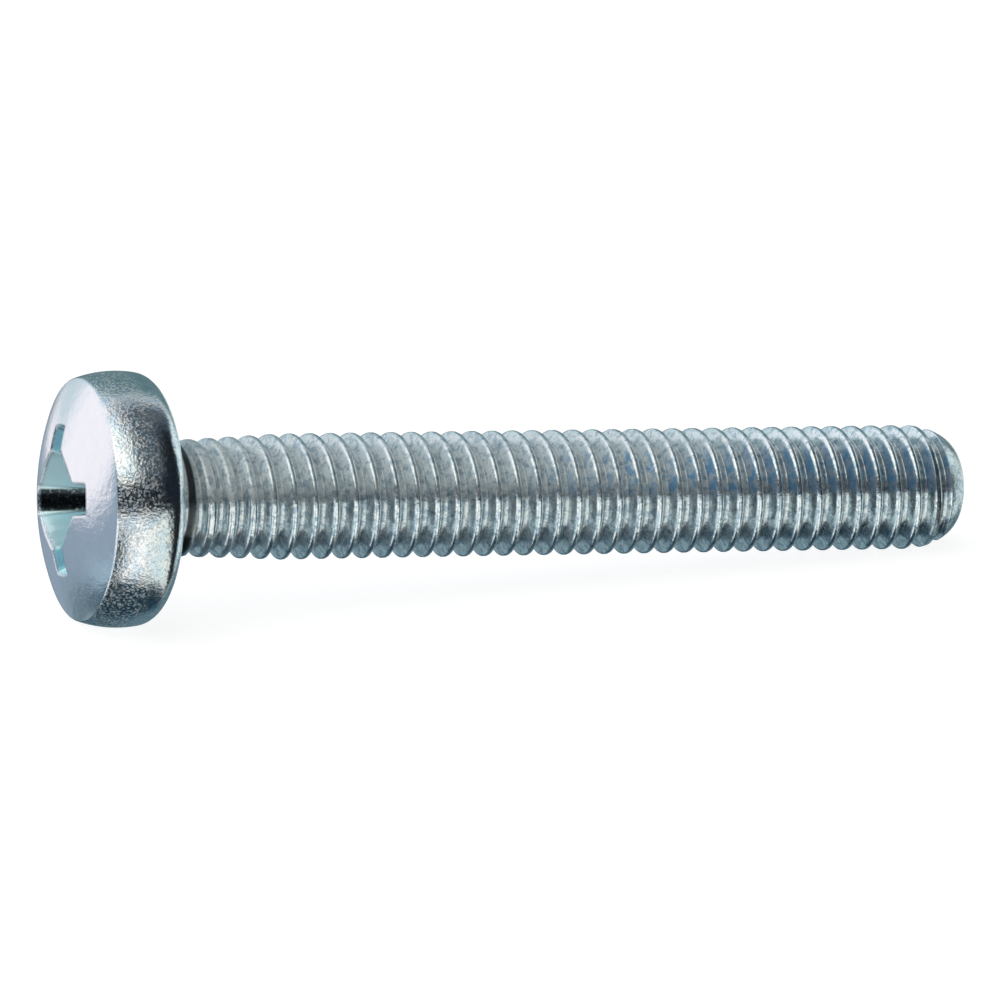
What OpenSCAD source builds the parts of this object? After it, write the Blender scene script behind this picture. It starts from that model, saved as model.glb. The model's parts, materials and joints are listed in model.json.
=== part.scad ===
// Pan head machine screw with a cross recess, fully threaded, right-hand thread.
// It lies on its side as it comes to rest on a table: the rim of the head and a
// thread crest near the point touch z = 0, and the point lies towards +X.

/* [Head] */
// Height of the head, from the bearing face to the top of its crown
head_height = 4.72; // [3.9:0.02:5.2]
// Radius of the crown
crown_radius = 12.6; // [10:0.1:16]
// Diameter of the head where it is widest
head_diameter = 11.81; // [10.8:0.01:13]
// Height of the widest place above the bearing face
head_widest_at = 1.6; // [1.2:0.05:1.9]
// Radius of the rounded side, in the screw's lengthwise section
side_radius = 5.39; // [4.6:0.01:5.6]
// Radius of the corner between the side and the bearing face
rim_radius = 0.9; // [0.4:0.05:1.1]

/* [Cross recess] */
// Width over the wings at the crown's surface
recess_width = 6.9; // [5.8:0.05:7.4]
// Thickness of each wing at the crown
wing_thickness = 1.4; // [1:0.02:1.5]
// Slope of the wings' sides, against the screw's axis
wing_draft = 5.5; // [1:0.5:6]
// Depth of the wings, from where they cut the crown
wing_depth = 2.75; // [2:0.05:2.9]
// Slope of the wings' outer ends, against the screw's axis
wing_slope = 26.5; // [22:0.5:29]
// Distance of the core's flats from the axis, at the crown
core_reach = 2.12; // [1.8:0.02:2.3]
// Slope of the core's flats, against the screw's axis
core_slope = 16; // [5:0.5:18]
// Angle between the two core flats that meet between two wings
core_angle = 172; // [150:1:176]
// Slope of the bottom, against the bearing face
bottom_slope = 28; // [10:1:30]
// Turn of the recess about the screw's axis
recess_turn = 14; // [0:1:89]

/* [Shank and thread] */
// Length under the head, from the bearing face to the point
length = 40; // [20:1:80]
// Distance from one turn to the next
pitch = 1; // [0.9:0.05:1.2]
// Diameter over the thread's crests
crest_diameter = 5.82; // [5.7:0.01:6]
// Diameter of the plain neck, which the thread is rolled from
neck_diameter = 5.33; // [5.2:0.01:5.45]
// Diameter at the thread's roots
root_diameter = 4.74; // [4.5:0.01:4.9]
// Width of the flat on a crest
crest_width = 0.18; // [0.12:0.01:0.3]
// Angle between the flanks of the thread
flank_angle = 60; // [50:1:64]
// Length of the plain neck under the head
neck_length = 0.9; // [0.6:0.05:1.4]
// Fillet between the neck and the bearing face
neck_fillet = 0.2; // [0.1:0.05:0.3]
// Length over which the first roots sink to full depth
root_growth = 0.6; // [0.3:0.1:3]
// Length over which the first crests rise to full height
crest_growth = 5.5; // [1:0.5:8]
// Place of the first crest on the side that lies on the table, from the bearing face
first_crest = 0.45; // [0:0.01:0.95]

/* [Point] */
// Length of the rounded end
point_length = 2.5; // [1.6:0.1:3.4]
// Diameter of the flat on the end
point_diameter = 2.66; // [2:0.02:4]

/* [Fineness] */
// Facets round one turn of the thread
facets = 28; // [16:2:32]

/* [Hidden] */

steel = "lightsteelblue";
$fn = 96;

// Thin overlap that makes two pieces of one solid run into each other
bite = 0.1;

// The half section of the head is drawn as [radius, height above the bearing face]
side_reach = head_diameter / 2 - side_radius;
side_centre = [side_reach, head_widest_at];
crown_centre = head_height - crown_radius;
rim_offset = side_radius - rim_radius;
rim_side = sqrt(rim_offset * rim_offset - (head_widest_at - rim_radius) * (head_widest_at - rim_radius));
rim_centre = [side_reach + rim_side, rim_radius];

// Where the wings' ends cut the crown, and the levels and radii that follow
wing_reach = recess_width / 2;
wing_top = crown_centre + sqrt(crown_radius * crown_radius - wing_reach * wing_reach);
wing_floor = wing_top - wing_depth;
wing_floor_reach = wing_reach - wing_depth * tan(wing_slope);
recess_floor = wing_floor - wing_floor_reach * tan(bottom_slope);
cut_top = head_height + 1;

// Thread section: four points a turn, as [offset along the axis, full radius]
crest_radius = crest_diameter / 2;
root_radius = root_diameter / 2;
neck_radius = neck_diameter / 2;
flank_width = (crest_radius - root_radius) * tan(flank_angle / 2);
section = [
    [-crest_width / 2, crest_radius],
    [crest_width / 2, crest_radius],
    [crest_width / 2 + flank_width, root_radius],
    [pitch - crest_width / 2 - flank_width, root_radius],
];

// The thread starts inside the neck and ends at the point
thread_start = neck_length - bite;
first_row = floor((thread_start - first_crest) / pitch) - 2;
last_row = ceil((length - first_crest) / pitch) + 1;
rows = (last_row - first_row + 1) * len(section);

// Share of its full rise or depth that a place in the section has reached at height z
function grown(z, full) =
    min(1, max(0, (z - neck_length) / (full > neck_radius ? crest_growth : root_growth)));

// Largest radius that the rounded end leaves at height z
function point_limit(z) =
    let (into = min(1, max(0, (z - length + point_length) / point_length)),
         drop = crest_radius - point_diameter / 2)
    crest_radius - drop * (1 - sqrt(1 - into * into));

// Radius of the thread at height z, for a place in the section with the given full radius
function thread_radius(z, full) =
    min(point_limit(z), neck_radius + (full - neck_radius) * grown(z, full) - (z <= neck_length ? bite : 0));

// Height of a row of points at facet f of a turn
function row_height(r, f) =
    let (turn = first_row + floor(r / len(section)))
    first_crest + pitch * (turn + f / facets) + section[r % len(section)][0];

// Tilt at which the screw lies on the rim of its head and on the crest at height z
function tilt_on(z) =
    let (along = z + head_widest_at, across = point_limit(z) - side_reach)
    asin(side_radius / norm([along, across])) - atan2(across, along);

// It comes to rest on the crest that it meets first
contact_turns = [floor(length / pitch / 2) : floor((length - first_crest - crest_width / 2) / pitch)];
rest_tilt = min([for (t = contact_turns) tilt_on(first_crest + crest_width / 2 + pitch * t)]);
rest_height = side_radius + side_reach * cos(rest_tilt) - head_widest_at * sin(rest_tilt);

// Full length of the screw and the place of its middle when it lies
lying_start = -crown_radius - crown_centre * cos(rest_tilt);
lying_end = length * cos(rest_tilt) + point_diameter / 2 * sin(rest_tilt);
lying_middle = (lying_start + lying_end) / 2;

// Half section of the head, with true arcs
module head_section() {
    intersection() {
        translate([0, crown_centre]) circle(r = crown_radius);
        union() {
            intersection() {
                translate(side_centre) circle(r = side_radius);
                translate([0, rim_radius]) square([head_diameter, head_height]);
            }
            intersection() {
                translate([0, -bite]) square([rim_centre[0], head_height]);
                square([rim_centre[0], rim_radius + bite]);
            }
            intersection() {
                translate(rim_centre) circle(r = rim_radius);
                square([head_diameter, head_widest_at]);
            }
        }
        square([head_diameter, head_height]);
    }
}

// Long bar along Y whose two sides close in with depth. They stand at the given reach
// at the level where the wings' ends cut the crown
module tapered_bar(reach, slope) {
    floor_level = recess_floor - bite;
    spread = (cut_top - wing_top) * tan(slope);
    taper = (wing_top - floor_level) * tan(slope);
    rotate([90, 0, 0])
        linear_extrude(height = head_diameter, center = true)
            polygon([
                [-reach - spread, cut_top], [reach + spread, cut_top],
                [reach - taper, floor_level], [taper - reach, floor_level],
            ]);
}

// The recess's core has two flats between each pair of wings
module recess_core() {
    half_turn = (180 - core_angle) / 2;
    intersection() {
        rotate(45 - half_turn) tapered_bar(core_reach, core_slope);
        rotate(45 + half_turn) tapered_bar(core_reach, core_slope);
        rotate(135 - half_turn) tapered_bar(core_reach, core_slope);
        rotate(135 + half_turn) tapered_bar(core_reach, core_slope);
    }
}

// Two crossed wings with sloping ends, the core, and a bottom that runs to a point
module cross_recess() {
    intersection() {
        rotate_extrude() polygon([
            [0, recess_floor], [wing_floor_reach, wing_floor],
            [wing_reach + (cut_top - wing_top) * tan(wing_slope), cut_top], [0, cut_top],
        ]);
        union() {
            tapered_bar(wing_thickness / 2, wing_draft);
            rotate(90) tapered_bar(wing_thickness / 2, wing_draft);
            recess_core();
        }
    }
}

// Head with its recess. It stands on its bearing face, and the crown faces +Z
module head() {
    difference() {
        rotate_extrude() head_section();
        rotate(recess_turn) cross_recess();
    }
}

// Plain neck with a fillet at the bearing face. It points towards +Z
module neck() {
    translate([0, 0, -bite]) cylinder(r = neck_radius, h = neck_length + bite);
    rotate_extrude() difference() {
        square([neck_radius + neck_fillet, neck_fillet]);
        translate([neck_radius + neck_fillet, neck_fillet]) circle(r = neck_fillet);
    }
}

// Number of a row's point at facet f. Rows below the start or past the point share one end ring,
// and the facet after the last is the first one of the next turn
function point_number(r, f) =
    let (next = f >= facets, row = next ? r + len(section) : r, facet = next ? f - facets : f,
         z = row_height(row, facet))
    z <= thread_start ? facet : z >= length ? facets + facet : 2 * facets + row * facets + facet;

// Point of the thread at a radius, a facet and a height
function thread_point(radius, f, z) =
    [radius * cos(360 * f / facets), radius * sin(360 * f / facets), z];

// Helical thread as one closed solid, with its own end rings
module thread() {
    all_facets = [0 : facets - 1];
    start_ring = [for (f = all_facets) thread_point(neck_radius - bite, f, thread_start)];
    end_ring = [for (f = all_facets) thread_point(point_diameter / 2, f, length)];
    turns = [for (r = [0 : rows - 1], f = all_facets)
        let (z = row_height(r, f))
        thread_point(thread_radius(z, section[r % len(section)][1]), f, z)];
    corners = [for (r = [0 : rows - len(section) - 2], f = all_facets)
        [point_number(r, f), point_number(r, f + 1), point_number(r + 1, f + 1), point_number(r + 1, f)]];
    sides = [for (c = corners, half = [[c[0], c[2], c[1]], [c[0], c[3], c[2]]])
        if (half[0] != half[1] && half[1] != half[2] && half[2] != half[0]) half];
    start_cap = [for (f = all_facets) f];
    end_cap = [for (f = all_facets) 2 * facets - 1 - f];
    polyhedron(points = concat(start_ring, end_ring, turns), faces = concat(sides, [start_cap, end_cap]));
}

// The whole screw, with its bearing face at z = 0 and its point towards +Z
module upright_screw() {
    rotate([180, 0, 0]) head();
    neck();
    thread();
}

// The screw as it lies
module machine_screw() {
    color(steel)
        translate([-lying_middle, 0, rest_height])
            rotate([0, 90 + rest_tilt, 0])
                upright_screw();
}

machine_screw();
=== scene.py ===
"""Looks of a zinc-plated pan head machine screw: its fine mesh, its plating and a pale studio."""

import json
import logging
import math
from dataclasses import dataclass, field
from enum import Enum

import bpy
from mathutils import Matrix, Vector

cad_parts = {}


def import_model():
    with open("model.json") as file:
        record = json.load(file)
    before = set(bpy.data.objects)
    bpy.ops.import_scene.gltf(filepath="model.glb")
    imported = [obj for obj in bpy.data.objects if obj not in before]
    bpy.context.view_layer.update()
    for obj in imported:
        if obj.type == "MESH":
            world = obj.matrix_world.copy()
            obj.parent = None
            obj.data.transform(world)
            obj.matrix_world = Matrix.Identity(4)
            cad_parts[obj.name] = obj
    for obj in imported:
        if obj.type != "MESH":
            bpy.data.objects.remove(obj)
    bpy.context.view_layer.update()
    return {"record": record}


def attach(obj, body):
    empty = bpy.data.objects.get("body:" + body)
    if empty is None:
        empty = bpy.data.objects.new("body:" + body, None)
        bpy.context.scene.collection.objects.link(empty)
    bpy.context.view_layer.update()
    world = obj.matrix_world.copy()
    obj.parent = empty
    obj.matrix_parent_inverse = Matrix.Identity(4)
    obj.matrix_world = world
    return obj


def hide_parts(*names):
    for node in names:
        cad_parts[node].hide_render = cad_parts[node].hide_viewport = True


LOG = logging.getLogger("machine_screw")
NODE = "machine_screw"
ROOT_BODY = "root"
MM = 0.001
# Distances below which points are one, in millimetres
MERGE = 0.001
FINE_MERGE = 0.0005
# Distance below which a point lies on a cut, in metres
CUT_TOLERANCE = 1e-7

Socket = bpy.types.NodeSocket
# What an input of a node takes: another node's output, or a number, a colour or a vector
Source = Socket | float | tuple | Vector


class Keep(Enum):
    """Side of a cutting plane that stays."""

    ABOVE = "above"
    BELOW = "below"


def deselect_all() -> None:
    """Leaves nothing selected, so that an operator acts on new work alone."""
    if bpy.context.object:
        bpy.ops.object.mode_set(mode="OBJECT")
    bpy.ops.object.select_all(action="DESELECT")


def activate(piece: bpy.types.Object) -> None:
    """Makes one object the only selected and active one.

    Args:
        piece: The object to work on.
    """
    deselect_all()
    piece.select_set(True)
    bpy.context.view_layer.objects.active = piece


def chain(name: str, points: list[tuple[float, float]]) -> bpy.types.Object:
    """Draws an open outline by extruding one vertex from point to point.

    Args:
        name: Name of the new object.
        points: The outline as (radius, height) in millimetres.

    Returns:
        The object that holds the outline, in the plane y = 0.
    """
    deselect_all()
    bpy.ops.mesh.primitive_plane_add(size=MM, location=(points[0][0] * MM, 0, points[0][1] * MM))
    outline = bpy.context.object
    outline.name = name
    bpy.ops.object.transform_apply(location=True, rotation=True, scale=True)
    bpy.ops.object.mode_set(mode="EDIT")
    bpy.ops.mesh.select_all(action="SELECT")
    bpy.ops.mesh.merge(type="CENTER")
    for (r0, z0), (r1, z1) in zip(points, points[1:]):
        step = ((r1 - r0) * MM, 0, (z1 - z0) * MM)
        bpy.ops.mesh.extrude_vertices_move(TRANSFORM_OT_translate={"value": step})
    bpy.ops.object.mode_set(mode="OBJECT")
    return outline


def arc(
    centre: tuple[float, float], radius: float, start: float, end: float, steps: int
) -> list[tuple[float, float]]:
    """Lists points along an arc.

    Args:
        centre: Centre of the arc as (radius, height) in millimetres.
        radius: Radius of the arc in millimetres.
        start: Angle of the first point, in radians from the outward direction.
        end: Angle of the last point.
        steps: Number of steps between them.

    Returns:
        The points from start to end.
    """
    angles = [start + (end - start) * i / steps for i in range(steps + 1)]
    return [(centre[0] + radius * math.cos(a), centre[1] + radius * math.sin(a)) for a in angles]


def tidy_shell(piece: bpy.types.Object, merge: float) -> None:
    """Merges doubled points and turns all faces outwards.

    Args:
        piece: The closed shell.
        merge: Distance below which points are one, in millimetres.
    """
    activate(piece)
    bpy.ops.object.mode_set(mode="EDIT")
    bpy.ops.mesh.select_all(action="SELECT")
    bpy.ops.mesh.remove_doubles(threshold=merge * MM)
    bpy.ops.mesh.normals_make_consistent(inside=False)
    bpy.ops.object.mode_set(mode="OBJECT")


def cut_flat(piece: bpy.types.Object, height: float, keep: Keep) -> None:
    """Cuts a piece square to the axis and closes the cut.

    Args:
        piece: The piece to cut.
        height: Place of the cut along the axis, in millimetres.
        keep: The side that stays.
    """
    activate(piece)
    bpy.ops.object.mode_set(mode="EDIT")
    bpy.ops.mesh.select_all(action="SELECT")
    bpy.ops.mesh.bisect(
        plane_co=(0, 0, height * MM),
        plane_no=(0, 0, 1),
        use_fill=True,
        clear_inner=keep is Keep.ABOVE,
        clear_outer=keep is Keep.BELOW,
        threshold=CUT_TOLERANCE,
    )
    bpy.ops.object.mode_set(mode="OBJECT")


def combine(target: bpy.types.Object, tool: bpy.types.Object, operation: str) -> None:
    """Joins, cuts or intersects one solid with another and deletes the tool.

    Args:
        target: The solid that stays.
        tool: The solid that is used up.
        operation: UNION, DIFFERENCE or INTERSECT.
    """
    activate(target)
    modifier = target.modifiers.new("combine", "BOOLEAN")
    modifier.operation = operation
    modifier.solver = "EXACT"
    modifier.object = tool
    bpy.ops.object.modifier_apply(modifier=modifier.name)
    bpy.data.objects.remove(tool, do_unlink=True)


def spin_round(piece: bpy.types.Object, steps: int) -> None:
    """Turns an outline once round the Z axis into a closed solid.

    Args:
        piece: The outline, with both ends on the axis.
        steps: Steps in the turn.
    """
    activate(piece)
    bpy.ops.object.mode_set(mode="EDIT")
    bpy.ops.mesh.select_all(action="SELECT")
    bpy.ops.mesh.spin(steps=steps, angle=2 * math.pi, center=(0, 0, 0), axis=(0, 0, 1))
    bpy.ops.object.mode_set(mode="OBJECT")
    tidy_shell(piece, MERGE)


def tapered_prism(
    name: str,
    facings: list[float],
    reaches: list[float],
    taper: float,
    level: float,
    ends: tuple[float, float],
) -> bpy.types.Object:
    """Makes a prism on the Z axis whose flat sides close in towards +Z.

    Args:
        name: Name of the new object.
        facings: Directions that the sides face, in degrees and in turning order.
        reaches: Distance of each side from the axis at the given level, in millimetres.
        taper: Slope of the sides against the axis, in degrees.
        level: Height at which the sides stand at their reaches.
        ends: Lower and upper end.

    Returns:
        The closed prism.
    """
    low, high = ends
    slope = math.tan(math.radians(taper))
    count = len(facings)
    deselect_all()
    bpy.ops.mesh.primitive_cylinder_add(vertices=count, radius=1, depth=high - low, location=(0, 0, 0))
    prism = bpy.context.object
    prism.name = name
    for vertex in prism.data.vertices:
        bearing = math.atan2(vertex.co.y, vertex.co.x) - math.pi / 2
        corner = round(bearing / (2 * math.pi / count)) % count
        here, after = math.radians(facings[corner]), math.radians(facings[(corner + 1) % count])
        height = high if vertex.co.z > 0 else low
        widening = (level - height) * slope
        reach, reach_after = (reaches[k % count] + widening for k in (corner, corner + 1))
        cross = math.sin(after - here)
        x = (reach * math.sin(after) - reach_after * math.sin(here)) / cross
        y = (reach_after * math.cos(here) - reach * math.cos(after)) / cross
        vertex.co = (x * MM, y * MM, height * MM)
    return prism


@dataclass
class Head:
    """Pan head, with its crown towards -Z and its bearing face at z = 0. Sizes are in millimetres."""

    height: float = 4.72
    crown_radius: float = 12.6
    diameter: float = 11.81
    widest_at: float = 1.6
    side_radius: float = 5.39
    rim_radius: float = 0.9
    ridge_round: float = 0.15
    neck_diameter: float = 5.33
    neck_length: float = 0.9
    neck_fillet: float = 0.2
    crown_steps: int = 30
    ridge_steps: int = 6
    side_steps: int = 34
    rim_steps: int = 12
    fillet_steps: int = 5
    turn_steps: int = 176

    def outline(self) -> list[tuple[float, float]]:
        """Works out the half section from the middle of the crown round to the neck's end.

        Returns:
            The outline as (radius, height), with the crown at negative heights.
        """
        reach = self.diameter / 2 - self.side_radius
        crown_mid = (0.0, self.crown_radius - self.height)
        side_mid = (reach, -self.widest_at)
        crown_inner = self.crown_radius - self.ridge_round
        side_inner = self.side_radius - self.ridge_round
        gap = math.hypot(side_mid[0] - crown_mid[0], side_mid[1] - crown_mid[1])
        along = (crown_inner**2 - side_inner**2 + gap**2) / (2 * gap)
        across = math.sqrt(crown_inner**2 - along**2)
        ux, uz = (side_mid[0] - crown_mid[0]) / gap, (side_mid[1] - crown_mid[1]) / gap
        ridge_mid = (crown_mid[0] + along * ux - across * uz, crown_mid[1] + along * uz + across * ux)
        crown_end = math.atan2(ridge_mid[1] - crown_mid[1], ridge_mid[0] - crown_mid[0])
        side_start = math.atan2(ridge_mid[1] - side_mid[1], ridge_mid[0] - side_mid[0])
        rim_drop = self.widest_at - self.rim_radius
        rim_gap = self.side_radius - self.rim_radius
        rim_mid = (reach + math.sqrt(rim_gap**2 - rim_drop**2), -self.rim_radius)
        side_end = math.asin(rim_drop / rim_gap)
        neck = self.neck_diameter / 2
        fillet_mid = (neck + self.neck_fillet, self.neck_fillet)
        points = arc(crown_mid, self.crown_radius, -math.pi / 2, crown_end, self.crown_steps)
        points += arc(ridge_mid, self.ridge_round, crown_end, side_start, self.ridge_steps)[1:]
        points += arc(side_mid, self.side_radius, side_start, side_end, self.side_steps)[1:]
        points += arc(rim_mid, self.rim_radius, side_end, math.pi / 2, self.rim_steps)[1:]
        points += arc(fillet_mid, self.neck_fillet, -math.pi / 2, -math.pi, self.fillet_steps)
        points += [(neck, self.neck_length), (0.0, self.neck_length)]
        return points

    def build(self) -> bpy.types.Object:
        """Spins the outline into the head and its neck.

        Returns:
            The closed solid, with its axis on Z.
        """
        head = chain("head", self.outline())
        spin_round(head, self.turn_steps)
        return head


@dataclass
class Recess:
    """Cross recess as a cutter, standing in the crown. Sizes are in millimetres."""

    width: float = 6.9
    wing: float = 1.4
    wing_draft: float = 5.5
    depth: float = 2.75
    end_slope: float = 26.5
    core: float = 2.12
    core_slope: float = 16.0
    core_angle: float = 172.0
    bottom_slope: float = 28.0
    turn: float = -14.0
    above: float = 0.6
    core_excess: float = 0.5
    wing_excess: float = 0.4
    turn_steps: int = 128

    def build(self, head: Head) -> bpy.types.Object:
        """Makes the cutter from a cone, two wings and the core's sloping flats.

        Args:
            head: The head that the recess is cut into.

        Returns:
            The closed cutter.
        """
        crown_mid = head.crown_radius - head.height
        half = self.width / 2
        top = crown_mid - math.sqrt(head.crown_radius**2 - half**2)
        floor = top + self.depth
        floor_reach = half - self.depth * math.tan(math.radians(self.end_slope))
        tip = floor + floor_reach * math.tan(math.radians(self.bottom_slope))
        out = -head.height - self.above
        out_reach = half + (top - out) * math.tan(math.radians(self.end_slope))
        cone = chain("recess_cone", [(0.0, out), (out_reach, out), (floor_reach, floor), (0.0, tip)])
        spin_round(cone, self.turn_steps)
        swing = (180 - self.core_angle) / 2
        flats = [quarter + 45 + side * swing for quarter in range(0, 360, 90) for side in (-1, 1)]
        reaches = [self.core] * len(flats)
        ends = (out - self.core_excess, tip + self.core_excess)
        cross = tapered_prism("core", flats, reaches, self.core_slope, top, ends)
        reaches = [self.wing / 2, self.width, self.wing / 2, self.width]
        ends = (out - self.wing_excess, tip + self.wing_excess)
        for turn in (0, 90):
            sides = [turn + 90, turn + 180, turn + 270, turn + 360]
            wing = tapered_prism("wing", sides, reaches, self.wing_draft, top, ends)
            combine(cross, wing, "UNION")
        combine(cone, cross, "INTERSECT")
        cone.rotation_euler[2] = math.radians(self.turn)
        activate(cone)
        bpy.ops.object.transform_apply(location=True, rotation=True, scale=True)
        return cone


@dataclass
class Thread:
    """Rolled right-hand thread on the Z axis, from inside the neck to the point, in millimetres."""

    length: float = 40.0
    pitch: float = 1.0
    crest: float = 5.82
    root: float = 4.74
    neck: float = 5.33
    crest_width: float = 0.18
    flank_angle: float = 60.0
    rounding: float = 0.4
    neck_length: float = 0.9
    root_growth: float = 0.6
    crest_growth: float = 5.5
    first_crest: float = 0.45
    point_length: float = 2.5
    point_diameter: float = 2.66
    section_steps: int = 18
    turn_steps: int = 84
    overlap: float = 0.1
    turns_before: int = 3
    turns_after: int = 2

    def section(self) -> list[tuple[float, float]]:
        """Works out one pitch of the thread, from the middle of a root to the next.

        Returns:
            The outline as (radius, height), with rounded crest and root.
        """
        depth = (self.crest - self.root) / 2
        flank = depth * math.tan(math.radians(self.flank_angle / 2))
        root_half = (self.pitch - self.crest_width) / 2 - flank
        points = []
        for step in range(self.section_steps + 1):
            along = self.pitch * step / self.section_steps
            from_root = min(along, self.pitch - along)
            share = min(1.0, max(0.0, (from_root - root_half) / flank))
            smooth = share * share * (3 - 2 * share)
            share += self.rounding * (smooth - share)
            points.append((self.root / 2 + depth * share, along))
        return points

    def build(self) -> bpy.types.Object:
        """Sweeps the section along its helix, shapes its ends and cuts them flat.

        Returns:
            The closed thread.
        """
        start = self.first_crest - self.pitch / 2 - self.turns_before * self.pitch
        turns = math.ceil((self.length - start) / self.pitch) + self.turns_after
        thread = chain("thread", [(r, start + z) for r, z in self.section()])
        activate(thread)
        sweep = thread.modifiers.new("helix", "SCREW")
        sweep.axis = "Z"
        sweep.screw_offset = self.pitch * MM
        sweep.iterations = turns
        sweep.steps = self.turn_steps
        sweep.render_steps = self.turn_steps
        bpy.ops.object.modifier_apply(modifier=sweep.name)
        tidy_shell(thread, MERGE)
        self.shape_ends(thread)
        cut_flat(thread, self.neck_length - self.overlap, Keep.ABOVE)
        cut_flat(thread, self.length, Keep.BELOW)
        tidy_shell(thread, FINE_MERGE)
        return thread

    def shape_ends(self, thread: bpy.types.Object) -> None:
        """Fades the turns out at the neck and rounds them off at the point.

        Args:
            thread: The swept thread.
        """
        neck, crest = self.neck / 2, self.crest / 2
        drop = crest - self.point_diameter / 2
        for vertex in thread.data.vertices:
            radius = math.hypot(vertex.co.x, vertex.co.y) / MM
            height = vertex.co.z / MM
            growth = self.crest_growth if radius > neck else self.root_growth
            share = min(1.0, max(0.0, (height - self.neck_length) / growth))
            into = min(1.0, max(0.0, (height - self.length + self.point_length) / self.point_length))
            limit = crest - drop * (1 - math.sqrt(1 - into**2))
            sunk = self.overlap if height <= self.neck_length else 0.0
            wanted = min(limit, neck + (radius - neck) * share - sunk)
            vertex.co.x *= wanted / radius
            vertex.co.y *= wanted / radius


@dataclass(frozen=True)
class Speckle:
    """Noise with features of one over its scale, in millimetres, and the ends of its mask."""

    scale: float
    detail: float
    rough: float
    begin: float = 0.0
    full: float = 1.0


class NodeSheet:
    """Short way to lay out the nodes of a material or a world."""

    def __init__(self, owner: bpy.types.Material | bpy.types.World) -> None:
        """Starts an empty sheet.

        Args:
            owner: The material or world that the nodes belong to.
        """
        owner.use_nodes = True
        self.nodes = owner.node_tree.nodes
        self.links = owner.node_tree.links
        self.nodes.clear()

    def add(self, kind: str, settings: dict | None = None, **inputs: Source) -> bpy.types.Node:
        """Adds one node.

        Args:
            kind: Blender's name of the node.
            settings: Properties to set on it.
            inputs: Values or sockets for its inputs, by name with underscores for spaces.

        Returns:
            The node.
        """
        node = self.nodes.new(kind)
        for key, value in (settings or {}).items():
            setattr(node, key, value)
        for key, value in inputs.items():
            self.feed(node.inputs[key.replace("_", " ")], value)
        return node

    def feed(self, socket: Socket, value: Source) -> None:
        """Links a socket to another or sets its value.

        Args:
            socket: The input.
            value: Another node's output, or a number, a colour or a vector.
        """
        if isinstance(value, Socket):
            self.links.new(value, socket)
        else:
            socket.default_value = value

    def maths(self, operation: str, first: Source, second: Source = 0.0) -> Socket:
        """Adds a Math node.

        Args:
            operation: Blender's name of the operation.
            first: The first value.
            second: The second value, where the operation takes one.

        Returns:
            The result.
        """
        node = self.nodes.new("ShaderNodeMath")
        node.operation = operation
        for socket, value in zip(node.inputs, (first, second)):
            self.feed(socket, value)
        return node.outputs[0]

    def product(self, *factors: Source) -> Socket:
        """Multiplies values.

        Args:
            factors: The values. The first is an output where there is no other.

        Returns:
            Their product.
        """
        result = factors[0]
        for factor in factors[1:]:
            result = self.maths("MULTIPLY", result, factor)
        return result

    def ramp(
        self, value: Source, low: float, high: float, start: Source = 0.0, end: Source = 1.0
    ) -> Socket:
        """Maps a value smoothly from one range to another.

        Args:
            value: The value.
            low: Where it gives the start, which may also be above the other end.
            high: Where it gives the end.
            start: The result at the low end.
            end: The result at the high end.

        Returns:
            The result, which stays between the start and the end.
        """
        settings = {"interpolation_type": "SMOOTHSTEP"}
        node = self.add("ShaderNodeMapRange", settings, Value=value, From_Min=low, From_Max=high)
        self.feed(node.inputs["To Min"], start)
        self.feed(node.inputs["To Max"], end)
        return node.outputs["Result"]

    def mix(self, share: Source, first: Source, second: Source) -> Socket:
        """Mixes two colours.

        Args:
            share: Share of the second colour.
            first: The first colour.
            second: The second colour.

        Returns:
            The mixed colour.
        """
        node = self.nodes.new("ShaderNodeMix")
        node.data_type = "RGBA"
        self.feed(node.inputs[0], share)
        self.feed(node.inputs[6], first)
        self.feed(node.inputs[7], second)
        return node.outputs[2]

    def noise(self, place: Source, speckle: Speckle) -> Socket:
        """Adds a noise.

        Args:
            place: The place that it is read at, in millimetres.
            speckle: How coarse and how rough it is.

        Returns:
            Its value, mostly between 0.3 and 0.7.
        """
        node = self.add(
            "ShaderNodeTexNoise",
            None,
            Vector=place,
            Scale=speckle.scale,
            Detail=speckle.detail,
            Roughness=speckle.rough,
        )
        return node.outputs[0]

    def spots(
        self, place: Source, speckle: Speckle, start: Source = 0.0, end: Source = 1.0
    ) -> Socket:
        """Adds a noise and returns the mask of its high places."""
        return self.ramp(self.noise(place, speckle), speckle.begin, speckle.full, start, end)

    def split(self, vector: Source) -> tuple[Socket, ...]:
        """Splits a vector and returns its three parts."""
        return tuple(self.add("ShaderNodeSeparateXYZ", None, Vector=vector).outputs)


def past(place: float, span: tuple[float, float]) -> tuple[float, float]:
    """Moves both ends of a span by a place and returns them."""
    return place + span[0], place + span[1]


def times(length: float, span: tuple[float, float]) -> tuple[float, float]:
    """Turns a span in shares of a length into one in millimetres."""
    return span[0] * length, span[1] * length


@dataclass(frozen=True)
class Regions:
    """Masks of the screw's parts, each from 0 to 1, and the noises that they share."""

    crown: Socket
    side: Socket
    recess: Socket
    # Painted shade across one pair of the recess's wings
    slot: Socket
    hollow: Socket
    shank: Socket
    # Painted shade in the first groove
    painted_groove_shade: Socket
    # Painted shade in the thread's roots
    root: Socket
    crest: Socket
    upward: Socket
    neck: Socket
    # Painted navy reflection on the flanks that face the head and partly upward
    painted_navy_reflection: Socket
    point: Socket
    around_recess: Socket
    grain: Socket
    fine: Socket
    mottle: Socket
    pits: Socket


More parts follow.
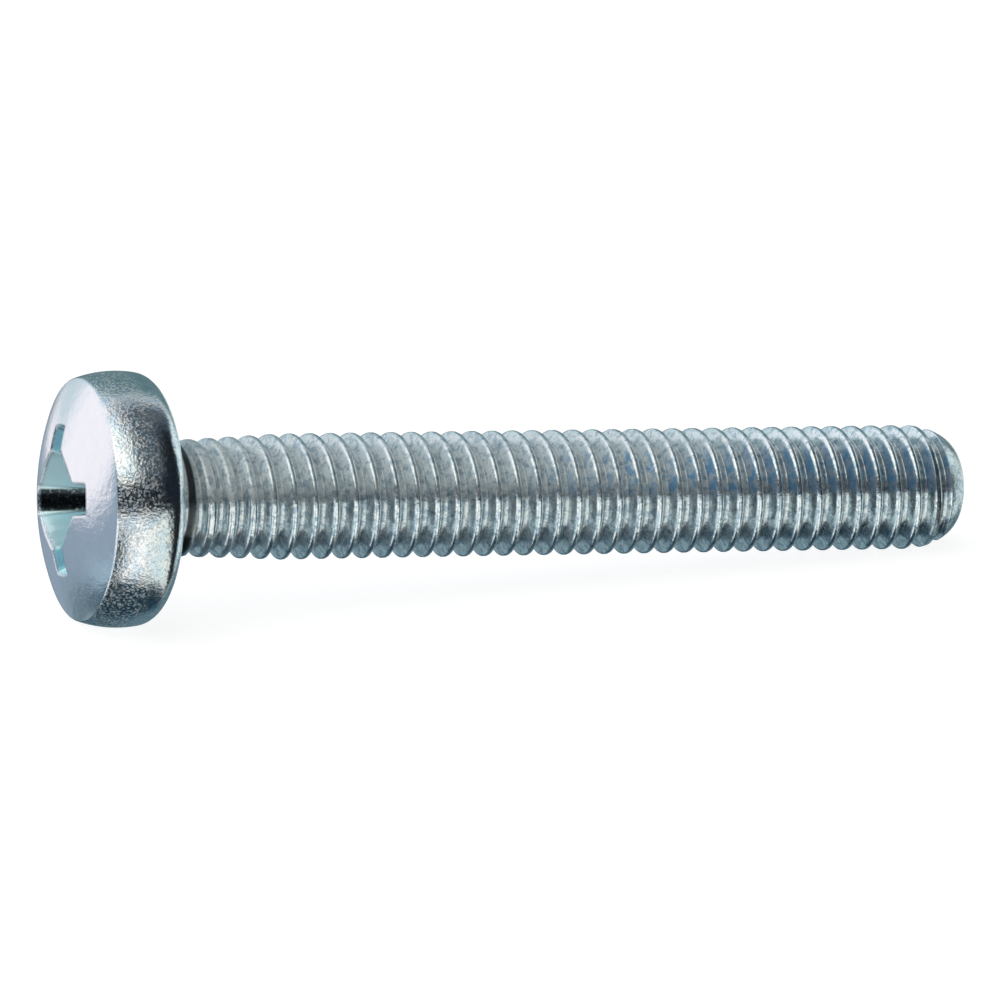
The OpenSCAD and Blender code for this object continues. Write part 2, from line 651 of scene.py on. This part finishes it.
@dataclass(frozen=True)
class PlateColours:
    """Colours of the plating, as linear red, green, blue and opacity."""

    pale: tuple[float, ...] = (0.84, 0.90, 0.92, 1)
    blue: tuple[float, ...] = (0.64, 0.79, 0.90, 1)
    lavender: tuple[float, ...] = (0.90, 0.90, 0.95, 1)
    ice: tuple[float, ...] = (0.84, 0.96, 1.0, 1)
    teal: tuple[float, ...] = (0.68, 0.93, 0.99, 1)
    ink: tuple[float, ...] = (0.20, 0.36, 0.50, 1)
    stain: tuple[float, ...] = (0.22, 0.30, 0.38, 1)
    # Navy of the painted reflection on the flanks that face the head
    navy: tuple[float, ...] = (0.12, 0.33, 0.58, 1)
    # Near black for painted shade in the roots, the first groove and the slot
    deep: tuple[float, ...] = (0.015, 0.02, 0.025, 1)


@dataclass(frozen=True)
class PlateNoises:
    """Noises of the plating: scale, detail, roughness, and where the mask begins and is full."""

    # Relief, roughness and the faint mottling of the tint
    grain: Speckle = Speckle(5.0, 2.5, 0.55)
    fine: Speckle = Speckle(15.0, 3.0, 0.6, 0.35, 0.65)
    mottle: Speckle = Speckle(2.0, 4.0, 0.65, 0.38, 0.62)
    # Pits round the head's side, and where they crowd
    pits: Speckle = Speckle(7.5, 2.0, 0.55, 0.44, 0.66)
    pit_spread: Speckle = Speckle(1.3, 2.0, 0.5, 0.30, 0.55)
    # Tints that come and go along the thread
    patches: Speckle = Speckle(2.2, 3.0, 0.6, 0.42, 0.60)
    stains: Speckle = Speckle(2.6, 3.0, 0.6, 0.52, 0.68)
    inked: Speckle = Speckle(3.2, 3.0, 0.6, 0.50, 0.62)
    specks: Speckle = Speckle(8.0, 2.0, 0.5, 0.56, 0.66)


@dataclass(frozen=True)
class PlateSpans:
    """Where the masks begin and where they are full.

    Places are in millimetres along the axis, from the axis or below the crown. Those on a size
    of the screw are counted from it. A facing is a part of the surface's normal.
    """

    # Head and recess
    head_end: tuple[float, float] = (0.05, -0.05)
    crown_skin: tuple[float, float] = (0.10, 0.05)
    recess_skin: tuple[float, float] = (0.05, 0.25)
    on_recess_edge: tuple[float, float] = (0.25, 0.1)
    # Painted shade: a band either side of one pair of wings' middle line
    slot_sides: tuple[float, float] = (0.58, 0.46)
    on_core: tuple[float, float] = (0.25, -0.35)
    hollow_facing: tuple[float, float] = (-0.3, 0.2)
    # Neck, thread and point
    # Painted shade in the first groove, next to the neck
    groove_on_neck: tuple[float, float] = (0.04, 0.16)
    groove_on_turn: tuple[float, float] = (-0.35, -0.6)
    groove_on_radius: tuple[float, float] = (0.06, 0.01)
    neck_on_end: tuple[float, float] = (0.2, -0.1)
    # Painted shade in the thread's roots
    on_root: tuple[float, float] = (0.14, 0.04)
    on_crest: tuple[float, float] = (-0.14, -0.04)
    upward_facing: tuple[float, float] = (0.05, 0.34)
    point_shares: tuple[float, float] = (0.55, 0.85)
    # Painted navy reflection: from the middle of the shank to the point, on flanks that face the head
    # and partly upward
    painted_navy_reflection_shares: tuple[float, float] = (0.38, 0.62)
    painted_navy_reflection_headward: tuple[float, float] = (0.55, 0.80)
    painted_navy_reflection_from: tuple[float, float] = (0.05, 0.14)
    painted_navy_reflection_to: tuple[float, float] = (0.48, 0.38)
    # Pits, which start above the rim
    pitted: tuple[float, float] = (-1.1, -1.7)


@dataclass(frozen=True)
class PlateStrengths:
    """How strongly each mask acts: shares of a tint or of frost, and heights in millimetres."""

    # Tints, with a painted navy reflection and painted shade in the roots, the first groove and the
    # slot
    lavender: float = 0.85
    ice: float = 0.7
    stain: float = 0.4
    ink: float = 0.55
    side_specks: float = 0.35
    shank_specks: float = 0.3
    navy: float = 0.9
    root: float = 0.2
    painted_groove_shade: float = 0.96
    slot: float = 0.93
    slot_specks: float = 0.3
    # Ends of the masks that don't run from 0 to 1
    patch_floor: float = 0.6
    pit_spread: tuple[float, float] = (0.5, 1.2)
    hollow_by_reach: tuple[float, float] = (0.3, 1.0)
    hollow_by_facing: tuple[float, float] = (0.9, 0.45)
    # Roughness of the bright metal
    roughness: tuple[float, float] = (0.12, 0.20)
    shank_roughness: float = 0.05
    # Frost, which dulls the mirror, and where it clears
    shank_frost: float = 0.80
    point_clear: float = 0.58
    under_frost: float = 0.2
    crest_clear: float = 0.6
    painted_navy_reflection_frost: float = 0.32
    neck_frost: float = 0.35
    pit_frost: float = 0.44
    # Heights of the relief, and how strong the grain is on each part
    grain_height: float = 0.018
    fine_height: float = 0.003
    wave_height: float = 0.02
    pit_height: float = -0.005
    relief: float = 0.3
    side_relief: float = 0.48
    shank_relief: float = 0.4


@dataclass(frozen=True)
class ZincPlate:
    """Zinc plating with a blue tint, grainy round the head's side and mottled on the thread."""

    name: str = "zinc_plate"
    head: Head = field(default_factory=Head)
    recess: Recess = field(default_factory=Recess)
    thread: Thread = field(default_factory=Thread)
    colours: PlateColours = field(default_factory=PlateColours)
    noises: PlateNoises = field(default_factory=PlateNoises)
    spans: PlateSpans = field(default_factory=PlateSpans)
    strengths: PlateStrengths = field(default_factory=PlateStrengths)
    edge_round: float = 0.05
    recess_round: float = 0.2
    edge_samples: int = 6

    def material(self, place: Matrix) -> bpy.types.Material:
        """Builds the plating's material.

        Args:
            place: Takes the screw's own frame to the part's.

        Returns:
            The material.
        """
        material = bpy.data.materials.new(self.name)
        sheet = NodeSheet(material)
        own = self.own_place(sheet, place)
        regions = self.regions(sheet, own, place)
        shader = sheet.add(
            "ShaderNodeBsdfPrincipled",
            None,
            Base_Color=self.colour(sheet, own, regions),
            Metallic=self.sheen(sheet, regions),
            Roughness=self.roughness(sheet, regions),
            Normal=self.relief(sheet, regions),
        )
        sheet.add("ShaderNodeOutputMaterial", None, Surface=shader.outputs[0])
        return material

    def regions(self, sheet: NodeSheet, own: Socket, place: Matrix) -> Regions:
        """Tells the crown, the side, the recess and the shank apart.

        Args:
            sheet: The material's nodes.
            own: The place in the screw's own frame.
            place: Takes the screw's own frame to the part's.

        Returns:
            The masks and the noises.
        """
        head, recess, thread = self.head, self.recess, self.thread
        spans, noises, strengths = self.spans, self.noises, self.strengths
        x, y, z = sheet.split(own)
        facing = sheet.add("ShaderNodeTexCoord").outputs["Normal"]
        upright = sheet.split(facing)[2]
        squared = sheet.maths("ADD", sheet.product(x, x), sheet.product(y, y))
        radius = sheet.maths("SQRT", squared)

        # Head: the crown is a dome, and what lies below it inside the cross is the recess
        dome = sheet.product(squared, 1 / (2 * head.crown_radius))
        below = sheet.maths("ADD", sheet.maths("SUBTRACT", z, dome), head.height)
        in_head = sheet.ramp(z, *spans.head_end)
        crown = sheet.product(in_head, sheet.ramp(below, *spans.crown_skin))
        near = sheet.ramp(radius, *past(recess.width / 2, spans.on_recess_edge))
        within = sheet.product(in_head, near)
        in_recess = sheet.product(within, sheet.ramp(below, *spans.recess_skin))
        turn = math.radians(recess.turn)
        along_x, along_y = sheet.product(x, math.cos(turn)), sheet.product(y, math.sin(turn))
        away = sheet.maths("ABSOLUTE", sheet.maths("ADD", along_x, along_y))
        # Painted shade: one pair of wings, a narrow band across the recess, is painted nearly black
        slot = sheet.product(in_recess, sheet.ramp(away, *spans.slot_sides))
        hollow = sheet.product(
            in_recess,
            sheet.maths("SUBTRACT", 1.0, slot),
            sheet.ramp(away, *past(recess.core, spans.on_core), *strengths.hollow_by_reach),
            sheet.ramp(upright, *spans.hollow_facing, *strengths.hollow_by_facing),
        )
        outside = sheet.maths("SUBTRACT", 1.0, in_recess)
        side = sheet.product(in_head, outside, sheet.maths("SUBTRACT", 1.0, crown))

        # Shank: painted shade darkens the first groove, and a painted navy reflection lies on the
        # flanks that face the head near the point
        shank = sheet.maths("SUBTRACT", 1.0, in_head)
        painted_groove_shade = sheet.product(
            sheet.ramp(z, *past(thread.neck_length, spans.groove_on_neck)),
            sheet.ramp(z, *past(thread.neck_length + thread.pitch, spans.groove_on_turn)),
            sheet.ramp(radius, *past(thread.neck / 2, spans.groove_on_radius)),
        )
        point = sheet.ramp(z, *times(thread.length, spans.point_shares))
        patches = sheet.spots(own, noises.patches, sheet.product(point, strengths.patch_floor))
        # Painted navy reflection on the flanks that face the head and partly upward, from the middle
        # of the shank to the point, in patches
        painted_navy_reflection = sheet.product(
            sheet.ramp(z, *times(thread.length, spans.painted_navy_reflection_shares)),
            sheet.ramp(self.headward(sheet, facing, place), *spans.painted_navy_reflection_headward),
            sheet.ramp(upright, *spans.painted_navy_reflection_from),
            sheet.ramp(upright, *spans.painted_navy_reflection_to),
            patches,
        )
        return Regions(
            crown=crown,
            side=side,
            recess=in_recess,
            slot=slot,
            hollow=hollow,
            shank=shank,
            painted_groove_shade=painted_groove_shade,
            # Painted shade in the thread's roots
            root=sheet.product(sheet.ramp(radius, *past(thread.root / 2, spans.on_root)), shank),
            crest=sheet.ramp(radius, *past(thread.crest / 2, spans.on_crest)),
            upward=sheet.ramp(upright, *spans.upward_facing),
            neck=sheet.product(shank, sheet.ramp(z, *past(thread.neck_length, spans.neck_on_end))),
            painted_navy_reflection=painted_navy_reflection,
            point=point,
            around_recess=within,
            grain=sheet.noise(own, noises.grain),
            fine=sheet.noise(own, noises.fine),
            mottle=sheet.noise(own, noises.mottle),
            pits=sheet.product(
                sheet.spots(own, noises.pits),
                sheet.spots(own, noises.pit_spread, *strengths.pit_spread),
                sheet.ramp(z, *spans.pitted),
            ),
        )

    @staticmethod
    def headward(sheet: NodeSheet, facing: Socket, place: Matrix) -> Socket:
        """Tells how far the surface faces the head's end, along the screw's axis.

        Args:
            sheet: The material's nodes.
            facing: The surface's normal in the part's frame.
            place: Takes the screw's own frame to the part's.

        Returns:
            1 where it faces that way, and -1 where it faces the other.
        """
        headward = sheet.add("ShaderNodeVectorMath", {"operation": "DOT_PRODUCT"})
        sheet.feed(headward.inputs[0], facing)
        sheet.feed(headward.inputs[1], place.to_3x3() @ Vector((0, 0, -1)))
        return headward.outputs["Value"]

    def sheen(self, sheet: NodeSheet, regions: Regions) -> Socket:
        """Works out how much of the surface is bright metal, and how much is frosted.

        Args:
            sheet: The material's nodes.
            regions: The masks.

        Returns:
            The share of bright metal.
        """
        strengths = self.strengths
        under = strengths.under_frost
        towards_point = sheet.product(regions.point, strengths.point_clear)
        frost = sheet.product(
            regions.shank,
            sheet.maths("SUBTRACT", strengths.shank_frost, towards_point),
            sheet.maths("ADD", sheet.product(regions.upward, 1 - under), under),
            sheet.maths("SUBTRACT", 1.0, sheet.product(regions.crest, strengths.crest_clear)),
        )
        frost = sheet.maths("ADD", frost, sheet.product(regions.painted_navy_reflection, strengths.painted_navy_reflection_frost))
        frost = sheet.maths("ADD", frost, regions.hollow)
        frost = sheet.maths("ADD", frost, sheet.product(regions.neck, strengths.neck_frost))
        spots = sheet.product(regions.side, regions.pits, strengths.pit_frost)
        return sheet.maths("SUBTRACT", 1.0, sheet.maths("ADD", frost, spots))

    def roughness(self, sheet: NodeSheet, regions: Regions) -> Socket:
        """Works out the roughness of the bright metal.

        Args:
            sheet: The material's nodes.
            regions: The masks and the noises.

        Returns:
            The roughness.
        """
        fine, strengths = self.noises.fine, self.strengths
        uneven = sheet.ramp(regions.fine, fine.begin, fine.full, *strengths.roughness)
        return sheet.maths("ADD", uneven, sheet.product(regions.shank, strengths.shank_roughness))

    def colour(self, sheet: NodeSheet, own: Socket, regions: Regions) -> Socket:
        """Works out the plating's colour.

        Args:
            sheet: The material's nodes.
            own: The place in the screw's own frame.
            regions: The masks.

        Returns:
            The colour.
        """
        colours, noises, strengths = self.colours, self.noises, self.strengths
        specks = sheet.spots(own, noises.specks)
        tinted = sheet.ramp(regions.mottle, noises.mottle.begin, noises.mottle.full)
        colour = sheet.mix(tinted, colours.pale, colours.blue)
        layers = (
            (colours.lavender, regions.crown, strengths.lavender),
            (colours.ice, regions.shank, strengths.ice),
            (colours.stain, sheet.spots(own, noises.stains), regions.shank, strengths.stain),
            (colours.ink, sheet.spots(own, noises.inked), regions.shank, strengths.ink),
            (colours.stain, specks, regions.side, strengths.side_specks),
            (colours.stain, specks, regions.shank, strengths.shank_specks),
            # Painted navy reflection
            (colours.navy, regions.painted_navy_reflection, strengths.navy),
            # Painted shade in the thread's roots
            (colours.deep, regions.root, strengths.root),
            # Painted shade in the first groove
            (colours.deep, regions.painted_groove_shade, strengths.painted_groove_shade),
            (colours.teal, regions.recess),
        )
        for tint, *factors in layers:
            colour = sheet.mix(sheet.product(*factors), colour, tint)
        # Painted shade in that pair of wings, lightened a little by the specks
        black = sheet.maths("SUBTRACT", strengths.slot, sheet.product(specks, strengths.slot_specks))
        return sheet.mix(sheet.product(regions.slot, black), colour, colours.deep)

    def relief(self, sheet: NodeSheet, regions: Regions) -> Socket:
        """Rounds the edges off and adds the grain of the plating.

        Args:
            sheet: The material's nodes.
            regions: The masks and the noises.

        Returns:
            The normal.
        """
        strengths = self.strengths
        coarse = sheet.product(regions.grain, strengths.grain_height)
        grain = sheet.maths("ADD", coarse, sheet.product(regions.fine, strengths.fine_height))
        strong = sheet.product(regions.side, strengths.side_relief)
        strong = sheet.maths("ADD", strong, strengths.relief)
        strong = sheet.maths("ADD", strong, sheet.product(regions.shank, strengths.shank_relief))
        wave = sheet.product(regions.mottle, regions.crown, strengths.wave_height)
        pits = sheet.product(regions.pits, regions.side, strengths.pit_height)
        height = sheet.maths("ADD", sheet.product(grain, strong), sheet.maths("ADD", wave, pits))
        wider = sheet.product(regions.around_recess, (self.recess_round - self.edge_round) * MM)
        radius = sheet.maths("ADD", wider, self.edge_round * MM)
        edges = sheet.add("ShaderNodeBevel", {"samples": self.edge_samples}, Radius=radius)
        bump = sheet.add("ShaderNodeBump", None, Strength=1.0, Distance=MM, Height=height)
        sheet.feed(bump.inputs["Normal"], edges.outputs[0])
        return bump.outputs[0]

    @staticmethod
    def own_place(sheet: NodeSheet, place: Matrix) -> Socket:
        """Gives the place on the screw in its own frame, in millimetres.

        Args:
            sheet: The material's nodes.
            place: Takes the screw's own frame to the part's.

        Returns:
            The vector, with Z along the screw's axis from its bearing face.
        """
        back = place.inverted()
        coordinates = sheet.add("ShaderNodeTexCoord")
        mapping = sheet.add(
            "ShaderNodeMapping",
            {"vector_type": "POINT"},
            Vector=coordinates.outputs["Object"],
            Location=back.translation / MM,
            Rotation=back.to_euler("XYZ"),
            Scale=(1 / MM, 1 / MM, 1 / MM),
        )
        return mapping.outputs[0]


@dataclass
class Screw:
    """The whole screw: head, recess and thread as one solid."""

    head: Head = field(default_factory=Head)
    recess: Recess = field(default_factory=Recess)
    thread: Thread = field(default_factory=Thread)
    smooth_below: float = 38.0

    def build(self, place: Matrix) -> bpy.types.Object:
        """Builds the screw upright and lays it where the solid lies.

        Args:
            place: Turns the screw's own frame into the part's.

        Returns:
            The finished piece.
        """
        screw = self.head.build()
        combine(screw, self.recess.build(self.head), "DIFFERENCE")
        combine(screw, self.thread.build(), "UNION")
        screw.name = "plated_screw"
        screw.data.name = "plated_screw"
        screw.matrix_world = place
        activate(screw)
        bpy.ops.object.transform_apply(location=True, rotation=True, scale=True)
        bpy.ops.object.shade_smooth_by_angle(angle=math.radians(self.smooth_below))
        return screw


@dataclass(frozen=True)
class Zone:
    """One patch of the room that the plating mirrors.

    Each limit names an axis of the direction, where the patch begins and where it is full.
    """

    colour: tuple[float, float, float]
    limits: tuple[tuple[str, float, float], ...]


WALLS = (1.0, 0.98, 1.0)
ZONES = (
    # Blue-grey end of the room, in line with the screw, beyond its head
    Zone((0.27, 0.37, 0.45), (("x", -0.88, -0.95),)),
    # Warm window high in front, and the grey-blue wall behind
    Zone((1.45, 1.40, 1.28), (("y", 0.2, -0.3), ("z", 0.2, 0.5))),
    Zone((0.58, 0.70, 0.75), (("y", 0.4, 0.7), ("z", -0.13, -0.03), ("x", -0.50, -0.28))),
    # Dark half of the room, to the right, and its darkest corner in front
    Zone((0.095, 0.11, 0.125), (("x", -0.06, 0.12), ("y", 0.5, 0.2))),
    Zone((0.01, 0.012, 0.015), (("x", 0.45, 0.54), ("y", 0.05, -0.15))),
    # Teal wall behind, to the right, the pale table below it and the pale end beyond the point
    Zone((0.14, 0.22, 0.23), (("y", 0.3, 0.6), ("x", -0.1, 0.15))),
    Zone((0.75, 0.84, 0.80), (("y", 0.05, 0.3), ("x", 0.45, 0.6), ("z", 0.03, -0.08))),
    Zone((0.82, 0.90, 0.88), (("x", 0.75, 0.88), ("y", -0.25, -0.05))),
    # Dark wall in front, between the table and the window
    Zone((0.012, 0.015, 0.022), (("y", 0.1, -0.3), ("z", -0.02, 0.03), ("z", 0.55, 0.45))),
    # Lit table in front, white and brightest on the left
    Zone((0.95, 0.96, 0.88), (("z", 0.0, -0.06), ("y", 0.1, -0.15), ("x", 0.57, 0.48))),
    Zone((1.20, 1.14, 1.10), (("z", 0.0, -0.06), ("y", 0.1, -0.15), ("x", 0.25, 0.10))),
    # Lavender shades of the table behind and at the far left, and a greener one lower down
    Zone((0.28, 0.36, 0.44), (("z", -0.13, -0.20), ("y", 0.15, 0.33), ("x", 0.3, 0.1))),
    Zone((0.28, 0.36, 0.44), (("x", -0.78, -0.90), ("z", -0.03, -0.10), ("y", 0.1, 0.22))),
    Zone((0.22, 0.31, 0.34), (("z", -0.36, -0.46), ("y", 0.5, 0.8), ("x", 0.3, 0.1))),
    # Blue sheen low on the left, and the screw's own shade below it
    Zone((0.40, 0.57, 0.66), (("x", -0.6, -0.8), ("z", -0.3, -0.45))),
    Zone((0.05, 0.10, 0.13), (("z", -0.42, -0.50), ("y", 0.1, 0.35))),
    # Paler patches in that shade, behind to the left and to the right
    Zone(
        (0.26, 0.35, 0.38),
        (("x", -0.62, -0.42), ("x", -0.05, -0.15), ("y", 0.45, 0.7), ("z", -0.44, -0.56)),
    ),
    Zone((0.14, 0.21, 0.24), (("x", 0.20, 0.33), ("y", 0.25, 0.45), ("z", -0.30, -0.42))),
    # Straight below, where no light comes
    Zone((0.012, 0.035, 0.05), (("z", -0.85, -0.92),)),
    # Dark edge of the lit table, seen just past the ridge of the head
    Zone(
        (0.03, 0.05, 0.06),
        (("x", -0.13, -0.20), ("y", -0.05, -0.25), ("z", -0.12, -0.22), ("x", -0.5, -0.4)),
    ),
)


@dataclass
class Studio:
    """Camera, white floor and mirrored room. Lengths are in metres."""

    elevation: float = 14.842
    turn: float = 20.343
    distance: float = 0.6
    aim: tuple[float, float, float] = (-0.002479, -0.005633, 0.005721)
    lens: float = 469.95
    sensor: float = 36.0
    nearest: float = 0.01
    farthest: float = 50.0
    floor_size: float = 6.0
    floor_glow: float = 0.86
    floor_shade: float = 0.35

    def camera(self) -> None:
        """Places the camera at the photograph's viewing angle."""
        elevation, turn = math.radians(self.elevation), math.radians(self.turn)
        level = math.cos(elevation)
        forward = Vector((level * math.sin(turn), level * math.cos(turn), -math.sin(elevation)))
        data = bpy.data.cameras.new("camera")
        data.lens = self.lens
        data.sensor_width = self.sensor
        data.sensor_fit = "AUTO"
        data.clip_start = self.nearest
        data.clip_end = self.farthest
        camera = bpy.data.objects.new("camera", data)
        bpy.context.collection.objects.link(camera)
        camera.location = Vector(self.aim) - forward * self.distance
        camera.rotation_euler = (math.pi / 2 - elevation, 0, -turn)
        bpy.context.scene.camera = camera

    def floor(self) -> None:
        """Lays a white floor that only the camera sees. The plating mirrors the room's table."""
        deselect_all()
        bpy.ops.mesh.primitive_plane_add(size=self.floor_size, location=(0, 0, 0))
        floor = bpy.context.object
        floor.name = "floor"
        material = bpy.data.materials.new("white_floor")
        sheet = NodeSheet(material)
        path = sheet.add("ShaderNodeLightPath")
        matte = sheet.add("ShaderNodeBsdfDiffuse", None, Color=(self.floor_shade,) * 3 + (1,))
        glow = sheet.add("ShaderNodeEmission", None, Color=(self.floor_glow,) * 3 + (1,))
        clear = sheet.add("ShaderNodeBsdfTransparent")
        seen = sheet.add("ShaderNodeAddShader")
        pick = sheet.add("ShaderNodeMixShader", None, Fac=path.outputs["Is Camera Ray"])
        output = sheet.add("ShaderNodeOutputMaterial")
        sheet.feed(seen.inputs[0], matte.outputs[0])
        sheet.feed(seen.inputs[1], glow.outputs[0])
        sheet.feed(pick.inputs[1], clear.outputs[0])
        sheet.feed(pick.inputs[2], seen.outputs[0])
        sheet.feed(output.inputs[0], pick.outputs[0])
        floor.data.materials.append(material)

    def world(self) -> None:
        """Surrounds the screw with the room, which the camera itself sees as plain white."""
        world = bpy.data.worlds.new("studio")
        bpy.context.scene.world = world
        sheet = NodeSheet(world)
        coordinates = sheet.add("ShaderNodeTexCoord")
        towards = dict(zip("xyz", sheet.split(coordinates.outputs["Generated"])))
        colour = WALLS + (1,)
        for zone in ZONES:
            masks = [sheet.ramp(towards[axis], begin, full) for axis, begin, full in zone.limits]
            colour = sheet.mix(sheet.product(*masks), colour, zone.colour + (1,))
        path = sheet.add("ShaderNodeLightPath")
        seen = sheet.mix(path.outputs["Is Camera Ray"], colour, (1, 1, 1, 1))
        background = sheet.add("ShaderNodeBackground", None, Color=seen)
        sheet.add("ShaderNodeOutputWorld", None, Surface=background.outputs[0])

    def build(self) -> None:
        """Sets up the studio."""
        self.camera()
        self.floor()
        self.world()
        bpy.context.scene.view_settings.view_transform = "Standard"


def screw_place(record: dict) -> Matrix:
    """Finds the screw's own frame in the part from its thread mount.

    Args:
        record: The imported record.

    Returns:
        The matrix that takes the screw's frame, with its axis on Z, to the part's.
    """
    thread = next(m for m in record["mounts"] if m["name"] == "thread")
    axis = Vector(thread["axis"]).normalized()
    side = Vector((0, 1, 0))
    down = side.cross(axis)
    place = Matrix((down, side, axis)).transposed().to_4x4()
    place.translation = Vector(thread["pos_m"]) - axis * Thread.length * MM / 2
    return place


def main() -> None:
    """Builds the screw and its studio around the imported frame."""
    logging.basicConfig(level=logging.INFO, format="%(name)s %(message)s")
    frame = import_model()
    Studio().build()
    place = screw_place(frame["record"])
    screw = Screw().build(place)
    screw.data.materials.clear()
    screw.data.materials.append(ZincPlate().material(place))
    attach(screw, ROOT_BODY)
    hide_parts(NODE)
    LOG.info("%s has %d faces", screw.name, len(screw.data.polygons))


if __name__ == "__main__":
    main()
